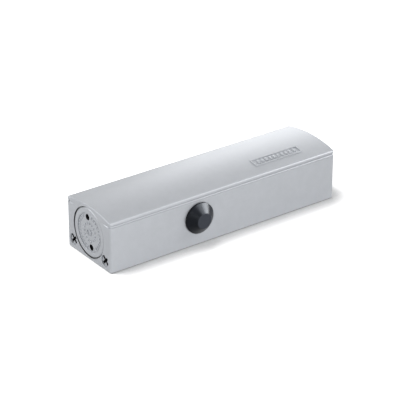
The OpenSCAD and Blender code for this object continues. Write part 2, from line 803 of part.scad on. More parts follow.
// One unbroken coil spring along X, from x0 over a length
module coil_spring(x0, l, turns, wire, coil_r) {
    points = coil_points(turns, l, wire, coil_r);
    n = wire_sides;
    last = turns * coil_rings;
    sides = [
        for (i = [0 : last - 1], s = [0 : n - 1]) let (a = i * n + s, b = i * n + (s + 1) % n)
            each [[a, b, b + n], [a, b + n, a + n]]
    ];
    caps = [for (s = [1 : n - 2]) each [[0, s + 1, s], [last * n, last * n + s, last * n + s + 1]]];
    translate([x0, 0, bore_z]) polyhedron(points, concat(sides, caps));
}

// Least distance between neighbouring turns of a coil spring, less the wire
function coil_gap(turns, l, wire) = min([
    for (i = [0 : (turns - 1) * coil_rings])
        coil_x(i / coil_rings + 1, turns, l, wire) - coil_x(i / coil_rings, turns, l, wire) - wire
]);

spring_l = spring_x1 - spring_x0;
echo(outer_spring_gap = coil_gap(outer_coils, spring_l, outer_wire));
echo(inner_spring_gap = coil_gap(inner_coils, spring_l, inner_wire));

module outer_closing_spring() {
    color(steel) coil_spring(spring_x0, spring_l, outer_coils, outer_wire,
        outer_spring_r - outer_wire / 2);
}

module inner_closing_spring() {
    color(steel) coil_spring(spring_x0, spring_l, inner_coils, inner_wire,
        inner_spring_r - inner_wire / 2);
}

module spring_plate() {
    hole_r = spindle_r + run_gap;
    color(steel) turned_x([
        [hole_r, plate_x - plate_hub_l], [inner_hub_r, plate_x - plate_hub_l],
        [inner_hub_r, plate_x], [plate_r - 0.6, plate_x], [plate_r, plate_x + 0.6],
        [plate_r, plate_x + plate_t], [hole_r, plate_x + plate_t]
    ]);
}

spindle_seal_x = x_spring - plug_l / 2;
spindle_seal_depth = 1.2;

module adjusting_spindle() {
    seal_floor = spindle_r - spindle_seal_depth;
    outer_x = x_spring - plug_sink - plug_dish - 0.3;
    color(steel) difference() {
        turned_x([
            [0, spindle_x0], [spindle_r - 1, spindle_x0], [spindle_r, spindle_x0 + 1],
            [spindle_r, collar_x], [collar_d / 2, collar_x], [collar_d / 2, collar_x + collar_t],
            [spindle_r, collar_x + collar_t], [spindle_r, spindle_seal_x - 0.8],
            [seal_floor, spindle_seal_x - 0.8], [seal_floor, spindle_seal_x + 0.8],
            [spindle_r, spindle_seal_x + 0.8], [spindle_r, outer_x - 0.5],
            [spindle_r - 0.5, outer_x], [0, outer_x]
        ]);
        translate([outer_x - hex_depth, 0, bore_z]) rotate([0, 90, 0])
            cylinder(d = hex_af / cos(30), h = hex_depth + 1, $fn = 6);
    }
}

module spindle_seal() {
    section = spindle_seal_depth - seat_gap;
    color(rubber) seal_ring(spindle_seal_x, spindle_r - spindle_seal_depth / 2 + seat_gap / 2, section);
}

module thrust_washer() {
    color(brass) turned_x([
        [spindle_r + run_gap, washer_x], [collar_d / 2, washer_x],
        [collar_d / 2, washer_x + washer_t], [spindle_r + run_gap, washer_x + washer_t]
    ]);
}

valve_seal_x = valve_x0 + valve_head_l - 1.6;
valve_seal_depth = 1;

// Regulating screw on the side of the body given by the sign
module valve_screw(side) {
    head_r = valve_head_d / 2;
    thread_r = valve_thread_d / 2;
    needle_r = needle_d / 2;
    color(silver) difference() {
        turned_x([
            [0, valve_x0], [head_r, valve_x0], [head_r, valve_seal_x - 0.7],
            [head_r - valve_seal_depth, valve_seal_x - 0.7],
            [head_r - valve_seal_depth, valve_seal_x + 0.7], [head_r, valve_seal_x + 0.7],
            [head_r, valve_x0 + valve_head_l], [thread_r, valve_x0 + valve_head_l],
            [thread_r, valve_thread_x], [needle_r, valve_thread_x + 0.6],
            [needle_r, needle_tip_x - 4.2], [valve_port_r - 0.35, needle_tip_x - 2.4],
            [valve_port_r - 0.65, needle_tip_x], [0, needle_tip_x]
        ], side * valve_y, valve_z);
        for (turn = [45, 135])
            translate([valve_x0 - 1, side * valve_y, valve_z]) rotate([turn, 0, 0])
                translate([0, -cross_l / 2, -cross_w / 2]) cube([cross_depth + 1, cross_l, cross_w]);
    }
}

module valve_seal(side) {
    section = valve_seal_depth - seat_gap;
    color(rubber) seal_ring(valve_seal_x, valve_head_d / 2 - valve_seal_depth / 2 + seat_gap / 2,
        section, side * valve_y, valve_z);
}

module closing_speed_valve() {
    valve_screw(-1);
}

module closing_valve_seal() {
    valve_seal(-1);
}

module latching_speed_valve() {
    valve_screw(1);
}

module latching_valve_seal() {
    valve_seal(1);
}

housing();
end_plug();
spring_end_plug();
plug_seals();
pinion_bushes();
shaft_seals();
retaining_rings();
pinion_cap();
filler_plug();
pinion_shaft();
piston();
piston_seal();
piston_guide_ring();
check_ball();
check_valve_insert();
relief_valve();
outer_closing_spring();
inner_closing_spring();
spring_plate();
adjusting_spindle();
spindle_seal();
thrust_washer();
closing_speed_valve();
closing_valve_seal();
latching_speed_valve();
latching_valve_seal();
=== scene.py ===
"""Studio scene of a surface-mounted overhead door closer without its arm.

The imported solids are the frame. This script dresses every one of them with a
finish of its own, adds the wound springs and the fine raised marks, and sets up
the plain studio in which the closer is seen.
"""

import logging
import math
from dataclasses import dataclass
from enum import Enum
from typing import Callable

import bpy
from mathutils import Matrix, Vector


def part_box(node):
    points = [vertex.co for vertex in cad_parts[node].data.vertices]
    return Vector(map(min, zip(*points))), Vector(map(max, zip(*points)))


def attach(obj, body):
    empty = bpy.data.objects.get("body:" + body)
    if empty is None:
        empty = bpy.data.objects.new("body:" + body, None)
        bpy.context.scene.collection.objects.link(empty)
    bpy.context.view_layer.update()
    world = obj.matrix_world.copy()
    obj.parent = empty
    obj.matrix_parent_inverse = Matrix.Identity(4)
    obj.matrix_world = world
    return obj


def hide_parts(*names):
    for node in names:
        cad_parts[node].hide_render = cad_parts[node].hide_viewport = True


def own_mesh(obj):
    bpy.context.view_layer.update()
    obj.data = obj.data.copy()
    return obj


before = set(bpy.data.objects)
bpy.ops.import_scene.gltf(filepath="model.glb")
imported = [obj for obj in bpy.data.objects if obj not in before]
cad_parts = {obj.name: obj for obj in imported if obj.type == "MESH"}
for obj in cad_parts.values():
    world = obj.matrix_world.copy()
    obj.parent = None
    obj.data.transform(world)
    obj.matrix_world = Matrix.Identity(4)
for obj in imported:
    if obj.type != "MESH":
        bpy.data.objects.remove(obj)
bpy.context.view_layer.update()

LOG = logging.getLogger("door_closer")
MM = 0.001
BORE_Z = 23.5 * MM
DAMPING_END_X = -83.4 * MM
MIDDLE_X = 26.6 * MM
Colour = tuple[float, float, float]
Socket = bpy.types.NodeSocket

# The Mix node holds sockets for every type of data, and these are its colours
MIX_COLOUR_INPUTS = (0, 6, 7)
MIX_COLOUR_OUTPUT = 2


class Turned(Enum):
    """Direction of the axis about which a piece is turned."""

    ALONG_BODY = "X"
    ALONG_PINION = "Y"
    UPRIGHT = "Z"


class Sheet:
    """Adds and links the nodes of one shader tree."""

    def __init__(self, tree: bpy.types.NodeTree) -> None:
        """Start on the node tree of a material or a group."""
        self.tree = tree

    def put(self, socket: Socket, value: object) -> None:
        """Link an output to a socket, or set the socket to a plain value.

        Args:
            socket: The input socket.
            value: An output, a number, a vector or a colour.
        """
        if isinstance(value, Socket):
            self.tree.links.new(value, socket)
        elif socket.type == "RGBA":
            socket.default_value = (*value[:3], 1.0)
        else:
            socket.default_value = value

    def add(self, kind: str, sockets: dict[str, object] | None = None, **settings: object) -> bpy.types.Node:
        """Add one node.

        Args:
            kind: Blender's name of the node's type.
            sockets: Input sockets' names and their values or outputs.
            **settings: Attributes of the node and their values.

        Returns:
            The new node.
        """
        node = self.tree.nodes.new(kind)
        for name, value in settings.items():
            setattr(node, name, value)
        for name, value in (sockets or {}).items():
            self.put(node.inputs[name], value)
        return node

    def maths(self, operation: str, *terms: object, clamp: bool = False) -> Socket:
        """Add a Math node.

        Args:
            operation: The node's operation.
            *terms: Numbers or outputs for its inputs, in order.
            clamp: Whether the result stays between 0 and 1.

        Returns:
            The node's output.
        """
        node = self.add("ShaderNodeMath", operation=operation, use_clamp=clamp)
        for socket, term in zip(node.inputs, terms):
            self.put(socket, term)
        return node.outputs[0]

    def mix(self, factor: object, low: object, high: object) -> Socket:
        """Mix two colours.

        Args:
            factor: Number or output that chooses between them.
            low: Colour at factor 0.
            high: Colour at factor 1.

        Returns:
            The mixed colour.
        """
        node = self.add("ShaderNodeMix", data_type="RGBA")
        for index, value in zip(MIX_COLOUR_INPUTS, (factor, low, high)):
            self.put(node.inputs[index], value)
        return node.outputs[MIX_COLOUR_OUTPUT]

    def span(self, value: Socket, low: float, high: float) -> Socket:
        """Stretch a value from the range 0 to 1 onto the range low to high."""
        return self.maths("MULTIPLY_ADD", value, high - low, low)

    def below(self, value: Socket, limit: float, blur: float = 0.05 * MM) -> Socket:
        """Mask that is 1 below a limit and 0 above it, and fades over the length of the blur."""
        return self.maths("MULTIPLY_ADD", value, -1 / blur, limit / blur + 0.5, clamp=True)

    def split(self, vector: Socket) -> bpy.types.NodeOutputs:
        """Split a vector into its coordinates."""
        return self.add("ShaderNodeSeparateXYZ", {"Vector": vector}).outputs

    def distance(self, first: Socket, second: Socket, at_second: float = 0.0) -> Socket:
        """Distance from a line, in the plane of two coordinates.

        Args:
            first: First coordinate, which is 0 on the line.
            second: Second coordinate.
            at_second: Second coordinate of the line.

        Returns:
            The distance.
        """
        across = self.maths("SUBTRACT", second, at_second)
        squares = self.maths("MULTIPLY_ADD", first, first, self.maths("MULTIPLY", across, across))
        return self.maths("SQRT", squares)


class EffectGroup:
    """A shared shader node group, built once and placed in many materials."""

    name = "effect"
    inputs: dict[str, str] = {}
    outputs: dict[str, str] = {}

    def tree(self) -> bpy.types.NodeTree:
        """Give the group's tree, which is built on first use.

        Returns:
            The tree.
        """
        made = bpy.data.node_groups.get(self.name)
        if made is None:
            made = bpy.data.node_groups.new(self.name, "ShaderNodeTree")
            for way, sockets in (("INPUT", self.inputs), ("OUTPUT", self.outputs)):
                for label, kind in sockets.items():
                    made.interface.new_socket(label, in_out=way, socket_type="NodeSocket" + kind)
            sheet = Sheet(made)
            self.wire(sheet, sheet.add("NodeGroupInput").outputs, sheet.add("NodeGroupOutput").inputs)
        return made

    def wire(self, sheet: Sheet, given: bpy.types.NodeOutputs, result: bpy.types.NodeInputs) -> None:
        """Build the inside of the group, from what it is given to the result that it puts out."""
        raise NotImplementedError

    def place(self, sheet: Sheet, **values: object) -> bpy.types.NodeOutputs:
        """Put the group into a material, with values or outputs for its inputs by name."""
        return sheet.add("ShaderNodeGroup", values, node_tree=self.tree()).outputs


class FineGrain(EffectGroup):
    """Fine even grain of a coat or casting, with slow changes of tone."""

    name = "fine_grain"
    inputs = {"Vector": "Vector", "Scale": "Float"}
    outputs = {"Height": "Float", "Tone": "Float"}
    tone_scale = 0.05
    tone_gain = 2.2
    tone_shift = -0.6

    def wire(self, sheet: Sheet, given: bpy.types.NodeOutputs, result: bpy.types.NodeInputs) -> None:
        """Build the inside of the group: a fine and a coarse noise.

        Args:
            sheet: The group's sheet.
            given: What the group is given.
            result: What the group puts out.
        """
        fine = sheet.add("ShaderNodeTexNoise", {
            "Vector": given["Vector"], "Scale": given["Scale"], "Detail": 3.0, "Roughness": 0.6,
        })
        coarse = sheet.add("ShaderNodeTexNoise", {
            "Vector": given["Vector"], "Scale": sheet.maths("MULTIPLY", given["Scale"], self.tone_scale),
            "Detail": 4.0, "Roughness": 0.65,
        })
        tone = sheet.maths("MULTIPLY_ADD", coarse.outputs[0], self.tone_gain, self.tone_shift, clamp=True)
        sheet.put(result["Height"], fine.outputs[0])
        sheet.put(result["Tone"], tone)


class TurningMarks(EffectGroup):
    """Fine rings that a lathe leaves about the X axis of the vector."""

    name = "turning_marks"
    inputs = {"Vector": "Vector", "Pitch": "Float"}
    outputs = {"Height": "Float"}
    noise_scale = 140.0
    wander = 0.6 * MM

    def wire(self, sheet: Sheet, given: bpy.types.NodeOutputs, result: bpy.types.NodeInputs) -> None:
        """Build the inside of the group: a wave over radius and length.

        Args:
            sheet: The group's sheet.
            given: What the group is given.
            result: What the group puts out.
        """
        place = sheet.split(given["Vector"])
        radius = sheet.distance(place["Y"], place["Z"])
        noise = sheet.add("ShaderNodeTexNoise", {
            "Vector": given["Vector"], "Scale": self.noise_scale, "Detail": 2.0,
        })
        wander = sheet.maths("MULTIPLY", noise.outputs[0], self.wander)
        run = sheet.maths("ADD", sheet.maths("ADD", place["X"], radius), wander)
        turns = sheet.maths("MULTIPLY", sheet.maths("DIVIDE", run, given["Pitch"]), 2 * math.pi)
        sheet.put(result["Height"], sheet.maths("MULTIPLY_ADD", sheet.maths("SINE", turns), 0.5, 0.5))


class SoftEdges(EffectGroup):
    """Normal that rounds the edges, and a mask of where they are."""

    name = "soft_edges"
    inputs = {"Radius": "Float"}
    outputs = {"Normal": "Vector", "Edge": "Float"}
    flat_dot = 0.97
    edge_gain = 5.0

    def wire(self, sheet: Sheet, given: bpy.types.NodeOutputs, result: bpy.types.NodeInputs) -> None:
        """Build the inside of the group: the rounded normal against the plain one.

        Args:
            sheet: The group's sheet.
            given: What the group is given.
            result: What the group puts out.
        """
        rounded = sheet.add("ShaderNodeBevel", {"Radius": given["Radius"]}, samples=8).outputs[0]
        plain = sheet.add("ShaderNodeNewGeometry").outputs["Normal"]
        dot = sheet.add("ShaderNodeVectorMath", operation="DOT_PRODUCT")
        sheet.put(dot.inputs[0], rounded)
        sheet.put(dot.inputs[1], plain)
        turned_by = sheet.maths("SUBTRACT", self.flat_dot, dot.outputs["Value"])
        sheet.put(result["Normal"], rounded)
        sheet.put(result["Edge"], sheet.maths("MULTIPLY", turned_by, self.edge_gain, clamp=True))


@dataclass(frozen=True)
class Surface:
    """What a finish is wired to.

    Attributes:
        sheet: The material's sheet.
        shader: Inputs of the surface shader.
        place: Position on the piece, in metres.
        edges: Outputs of the soft edges.
    """

    sheet: Sheet
    shader: bpy.types.NodeInputs
    place: Socket
    edges: bpy.types.NodeOutputs


@dataclass(frozen=True)
class Finish:
    """A surface finish. Subclasses wire what varies over the surface.

    Attributes:
        edge_radius: Radius to which the edges look rounded.
        grain: Scale of the grain.
        stain: Share by which the colour varies.
        rough_spread: Amount by which the roughness varies.
        depth: Depth of the relief.
    """

    name: str
    colour: Colour
    metallic: float = 0.0
    roughness: float = 0.5
    specular: float = 0.5
    edge_radius: float = 0.3 * MM
    grain: float = 2600.0
    stain: float = 0.08
    rough_spread: float = 0.04
    depth: float = 0.012 * MM

    def material(self) -> bpy.types.Material:
        """Build the finish as a material.

        Returns:
            The new material.
        """
        made = bpy.data.materials.new(self.name)
        made.use_nodes = True
        made.diffuse_color = (*self.colour, 1.0)
        made.node_tree.nodes.clear()
        sheet = Sheet(made.node_tree)
        shader = sheet.add("ShaderNodeBsdfPrincipled", {
            "Base Color": self.colour, "Metallic": self.metallic, "Roughness": self.roughness,
            "Specular IOR Level": self.specular,
        })
        sheet.add("ShaderNodeOutputMaterial", {"Surface": shader.outputs[0]})
        place = sheet.add("ShaderNodeTexCoord").outputs["Object"]
        edges = SoftEdges().place(sheet, Radius=self.edge_radius)
        self.wire(Surface(sheet, shader.inputs, place, edges))
        return made

    def wire(self, on: Surface) -> None:
        """Feed the shader with what varies over the surface."""
        raise NotImplementedError

    def grained(self, on: Surface) -> bpy.types.NodeOutputs:
        """Place the finish's own grain."""
        return FineGrain().place(on.sheet, Vector=on.place, Scale=self.grain)

    def stained(self, on: Surface, tone: Socket) -> Socket:
        """Vary the colour by the stain, from darker at tone 0 to lighter at tone 1."""
        return on.sheet.mix(tone, self.shade(1 - self.stain), self.shade(1 + self.stain))

    def shade(self, factor: float, lift: float = 0.0) -> Colour:
        """Shade of the finish's colour: multiplied by the factor, and the lift added."""
        return tuple(min(1.0, part * factor + lift) for part in self.colour)

    def uneven(self, on: Surface, value: Socket) -> Socket:
        """Vary the roughness by its spread, from smoother at value 0 to rougher at value 1."""
        return on.sheet.span(value, self.roughness - self.rough_spread, self.roughness + self.rough_spread)

    def emboss(self, on: Surface, height: Socket) -> None:
        """Lay a relief over the soft edges.

        Args:
            on: The surface.
            height: Height of the relief, between 0 and 1.
        """
        bump = on.sheet.add("ShaderNodeBump", {
            "Height": height, "Distance": self.depth, "Normal": on.edges["Normal"],
        })
        on.sheet.put(on.shader["Normal"], bump.outputs[0])


@dataclass(frozen=True)
class PowderCoat(Finish):
    """Fine silver powder coat with painted shade along the foot and in the grooves, and bare machined faces.

    Attributes:
        foot_h: Height of the painted shade along the foot.
        foot_shade: Share of painted shade along the foot.
        groove_y: Distance of both grooves from the body's middle plane.
        groove_z: Height of both grooves.
        groove_reach: How far the painted shade reaches from a groove's middle.
        groove_shade: Share of painted shade in the grooves.
        bare_polish: How much smoother than the coat the machined faces are.
        bare_pitch: Pitch of their turning marks.
        bore_r: Radius within which the cylinder and its mouths lie.
        bearing_r: Radius within which the bearing bores lie.
        back_skin: Height up to which the mounting face counts as bare.
    """

    edge_radius: float = 0.15 * MM
    stain: float = 0.035
    rough_spread: float = 0.03
    # Colour of the painted shade along the foot and in the grooves
    painted_shade: Colour = (0.1, 0.105, 0.11)
    foot_h: float = 0.9 * MM
    foot_shade: float = 0.75
    groove_y: float = 30 * MM
    groove_z: float = 40 * MM
    groove_reach: float = 1.0 * MM
    groove_shade: float = 0.3
    bare: Colour = (0.35, 0.355, 0.36)
    bare_polish: float = 0.12
    bare_pitch: float = 0.7 * MM
    bore_r: float = 21.23 * MM
    bearing_r: float = 12.65 * MM
    back_skin: float = 0.06 * MM

    def wire(self, on: Surface) -> None:
        """Feed the shader with grain, painted shade and bare metal.

        Args:
            on: The surface.
        """
        sheet, shader = on.sheet, on.shader
        grain = self.grained(on)
        metal = self.bare_mask(on)
        # Painted shade darkens the coat along the foot and in the grooves
        coat = sheet.mix(self.painted_shade_mask(on), self.stained(on, grain["Tone"]), self.painted_shade)
        sheet.put(shader["Base Color"], sheet.mix(metal, coat, self.bare))
        sheet.put(shader["Metallic"], sheet.span(metal, self.metallic, 1.0))
        rough = self.uneven(on, grain["Tone"])
        sheet.put(shader["Roughness"], sheet.maths("MULTIPLY_ADD", metal, -self.bare_polish, rough))
        marks = TurningMarks().place(sheet, Vector=on.place, Pitch=self.bare_pitch)
        height = sheet.mix(metal, grain["Height"], marks["Height"])
        self.emboss(on, height)

    def painted_shade_mask(self, on: Surface) -> Socket:
        """Mask the painted shade along the foot and in the grooves.

        Args:
            on: The surface.

        Returns:
            The mask.
        """
        sheet = on.sheet
        spot = sheet.split(on.place)
        side = sheet.maths("SUBTRACT", sheet.maths("ABSOLUTE", spot["Y"]), self.groove_y)
        reach = sheet.distance(side, spot["Z"], self.groove_z)
        groove = sheet.maths("MULTIPLY", sheet.below(reach, self.groove_reach), self.groove_shade)
        foot = sheet.maths("MULTIPLY", sheet.below(spot["Z"], self.foot_h), self.foot_shade)
        return sheet.maths("MAXIMUM", groove, foot)

    def bare_mask(self, on: Surface) -> Socket:
        """Mask the machined bores and mounting face.

        Args:
            on: The surface.

        Returns:
            The mask.
        """
        sheet = on.sheet
        spot = sheet.split(on.place)
        bore = sheet.below(sheet.distance(spot["Y"], spot["Z"], BORE_Z), self.bore_r)
        bearing = sheet.below(sheet.distance(spot["X"], spot["Z"], BORE_Z), self.bearing_r)
        back = sheet.below(spot["Z"], self.back_skin)
        return sheet.maths("MAXIMUM", sheet.maths("MAXIMUM", bore, bearing), back)


@dataclass(frozen=True)
class TurnedMetal(Finish):
    """Metal turned or ground about one axis, with fine rings and worn edges.

    Attributes:
        axis: Direction of the turning axis.
        x: Where an upright axis stands.
        y: Where an axis along the body lies.
        z: Height of an axis that isn't upright.
        stain_rough: How much rougher the stains are.
        worn_gain: Factor of the colour on worn edges.
        worn_lift: What is added to the colour on worn edges.
    """

    metallic: float = 1.0
    grain: float = 900.0
    depth: float = 0.006 * MM
    axis: Turned = Turned.ALONG_BODY
    x: float = 0.0
    y: float = 0.0
    z: float = BORE_Z
    pitch: float = 0.35 * MM
    stain_rough: float = 0.08
    worn_gain: float = 1.15
    worn_lift: float = 0.05

    def ringed(self, on: Surface) -> bpy.types.NodeOutputs:
        """Place the turning marks about the turning axis.

        Args:
            on: The surface.

        Returns:
            Outputs of the marks.
        """
        settings = {
            Turned.ALONG_BODY: ((0.0, -self.y, -self.z), (0.0, 0.0, 0.0)),
            Turned.ALONG_PINION: ((0.0, 0.0, -self.z), (0.0, 0.0, -math.pi / 2)),
            Turned.UPRIGHT: ((0.0, 0.0, self.x), (0.0, math.pi / 2, 0.0)),
        }
        location, rotation = settings[self.axis]
        centred = on.sheet.add("ShaderNodeMapping", {
            "Vector": on.place, "Location": location, "Rotation": rotation,
        })
        return TurningMarks().place(on.sheet, Vector=centred.outputs[0], Pitch=self.pitch)

    def wire(self, on: Surface) -> None:
        """Feed the shader with turning marks, stains and bright edges.

        Args:
            on: The surface.
        """
        sheet, shader = on.sheet, on.shader
        marks = self.ringed(on)
        grain = self.grained(on)
        bright = self.shade(self.worn_gain, self.worn_lift)
        stained = self.stained(on, grain["Tone"])
        sheet.put(shader["Base Color"], sheet.mix(on.edges["Edge"], stained, bright))
        rough = self.uneven(on, marks["Height"])
        rough = sheet.maths("MULTIPLY_ADD", grain["Tone"], self.stain_rough, rough)
        sheet.put(shader["Roughness"], rough)
        self.emboss(on, marks["Height"])


@dataclass(frozen=True)
class FacedMetal(TurnedMetal):
    """Metal whose outer face is coated with the body, and dark oiled metal below it, which in a valve's
    cross recess is painted shade.

    Attributes:
        face_from: Distance from the body's middle at which the coated face begins.
        ring_share: Height of the rings as a share of the grain's.
    """

    grain: float = 2600.0
    depth: float = 0.012 * MM
    below_face: Colour = (0.045, 0.045, 0.05)
    below_metallic: float = 0.8
    face_from: float = 109.1 * MM
    ring_share: float = 0.5

    def wire(self, on: Surface) -> None:
        """Feed the shader with the coated face, and the dark metal and painted shade below it.

        Args:
            on: The surface.
        """
        sheet, shader = on.sheet, on.shader
        along = sheet.split(on.place)["X"]
        from_middle = sheet.maths("ABSOLUTE", sheet.maths("SUBTRACT", along, MIDDLE_X))
        sunk = sheet.below(from_middle, self.face_from)
        grain = self.grained(on)
        marks = self.ringed(on)
        face = self.stained(on, grain["Tone"])
        # The dark colour below the face is painted shade in a valve's cross recess, and the dark metal of a
        # plug's body
        sheet.put(shader["Base Color"], sheet.mix(sunk, face, self.below_face))
        sheet.put(shader["Metallic"], sheet.span(sunk, self.metallic, self.below_metallic))
        sheet.put(shader["Roughness"], self.uneven(on, grain["Tone"]))
        height = sheet.maths("MULTIPLY_ADD", marks["Height"], self.ring_share, grain["Height"])
        self.emboss(on, height)


@dataclass(frozen=True)
class Rubber(Finish):
    """Matt moulded rubber with a little dust."""

    grain: float = 3500.0
    rough_spread: float = 0.08
    depth: float = 0.01 * MM
    clean: float = 0.8
    dusty: float = 1.3
    dust_lift: float = 0.004

    def wire(self, on: Surface) -> None:
        """Feed the shader with fine grain and dusty patches.

        Args:
            on: The surface.
        """
        sheet, shader = on.sheet, on.shader
        grain = self.grained(on)
        dark = self.shade(self.clean, self.dust_lift)
        light = self.shade(self.dusty, self.dust_lift)
        sheet.put(shader["Base Color"], sheet.mix(grain["Tone"], dark, light))
        sheet.put(shader["Roughness"], self.uneven(on, grain["Tone"]))
        self.emboss(on, grain["Height"])


@dataclass(frozen=True)
class CapPlastic(Finish):
    """Gloss black plastic with a matt, finely grained end disc.

    Attributes:
        sheen: Tint of what the plastic mirrors.
        disc_y: Where the disc begins, along the pinion's axis.
        disc_roughness: Middle roughness of the disc.
        flank_grain: Height of the flank's grain as a share of the disc's.
    """

    grain: float = 3000.0
    stain: float = 0.15
    rough_spread: float = 0.025
    depth: float = 0.015 * MM
    sheen: Colour = (0.84, 0.91, 1.0)
    disc: Colour = (0.017, 0.019, 0.024)
    disc_y: float = -37.5 * MM
    disc_roughness: float = 0.555
    flank_grain: float = 0.1

    def wire(self, on: Surface) -> None:
        """Feed the shader with the gloss flank and the matt disc.

        Args:
            on: The surface.
        """
        sheet, shader = on.sheet, on.shader
        grain = self.grained(on)
        across = sheet.split(on.place)["Y"]
        matt = sheet.below(across, self.disc_y)
        flank = self.stained(on, grain["Tone"])
        sheet.put(shader["Base Color"], sheet.mix(matt, flank, self.disc))
        sheet.put(shader["Specular Tint"], self.sheen)
        gloss = self.uneven(on, grain["Tone"])
        duller = self.disc_roughness - self.roughness
        sheet.put(shader["Roughness"], sheet.maths("MULTIPLY_ADD", matt, duller, gloss))
        height = sheet.maths("MULTIPLY", grain["Height"], sheet.span(matt, self.flank_grain, 1.0))
        self.emboss(on, height)


class Finishes:
    """Every finish of the closer, built once as materials."""

    coat = (0.455, 0.472, 0.5)
    steel = (0.56, 0.57, 0.58)
    bronze = (0.62, 0.42, 0.24)
    brass = (0.72, 0.56, 0.27)
    valve_y = 22.0 * MM
    valve_z = 8.459 * MM
    filler_x = 60 * MM

    def __init__(self) -> None:
        """Build all the materials."""
        made = self.outside() | self.inside()
        self.materials = {key: finish.material() for key, finish in made.items()}

    def outside(self) -> dict[str, Finish]:
        """Describe the finishes that show from outside.

        Returns:
            The finishes by key.
        """
        valve = {"metallic": 0.4, "roughness": 0.4, "z": self.valve_z, "face_from": 109.0 * MM}
        return {
            "coat": PowderCoat("silver_powder_coat", self.coat, metallic=0.5, roughness=0.43),
            "plug": FacedMetal("coated_plug", self.coat, metallic=0.5, roughness=0.43,
                               pitch=0.5 * MM, stain=0.05),
            "cap": CapPlastic("black_cap_plastic", (0.002, 0.0025, 0.004), roughness=0.335, specular=0.14),
            "closing": FacedMetal("closing_valve_plate", self.coat, y=-self.valve_y, **valve),
            "latching": FacedMetal("latching_valve_plate", self.coat, y=self.valve_y, **valve),
            "filler": TurnedMetal("zinc_plated_filler", (0.6, 0.61, 0.62), roughness=0.34,
                                  axis=Turned.UPRIGHT, x=self.filler_x),
            "spindle": TurnedMetal("zinc_plated_spindle", (0.62, 0.63, 0.64), roughness=0.3),
        }

    def inside(self) -> dict[str, Finish]:
        """Describe the finishes of what the housing holds.

        Returns:
            The finishes by key.
        """
        across = Turned.ALONG_PINION
        return {
            "pinion": TurnedMetal("ground_pinion_steel", self.steel, roughness=0.28, axis=across),
            "ring": TurnedMetal("dark_spring_steel", (0.12, 0.125, 0.135), roughness=0.4, axis=across),
            "spring": TurnedMetal("oiled_spring_wire", (0.2, 0.205, 0.22), roughness=0.36,
                                  pitch=2 * MM, stain=0.15),
            "piston": TurnedMetal("ground_piston_steel", self.steel, roughness=0.26),
            "bush": TurnedMetal("bearing_bronze", self.bronze, roughness=0.34, axis=across),
            "washer": TurnedMetal("washer_bronze", self.bronze, roughness=0.34),
            "brass": TurnedMetal("turned_brass", self.brass, roughness=0.3),
            "rubber": Rubber("seal_rubber", (0.03, 0.03, 0.032), roughness=0.62),
        }

    def dress(self, key: str, nodes: tuple[str, ...]) -> None:
        """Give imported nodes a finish.

        Args:
            key: The finish.
            nodes: Names of the nodes.
        """
        for name in nodes:
            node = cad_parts[name]
            for slot in node.material_slots:
                slot.material = self.materials[key]
            LOG.info("%s wears %s", name, self.materials[key].name)


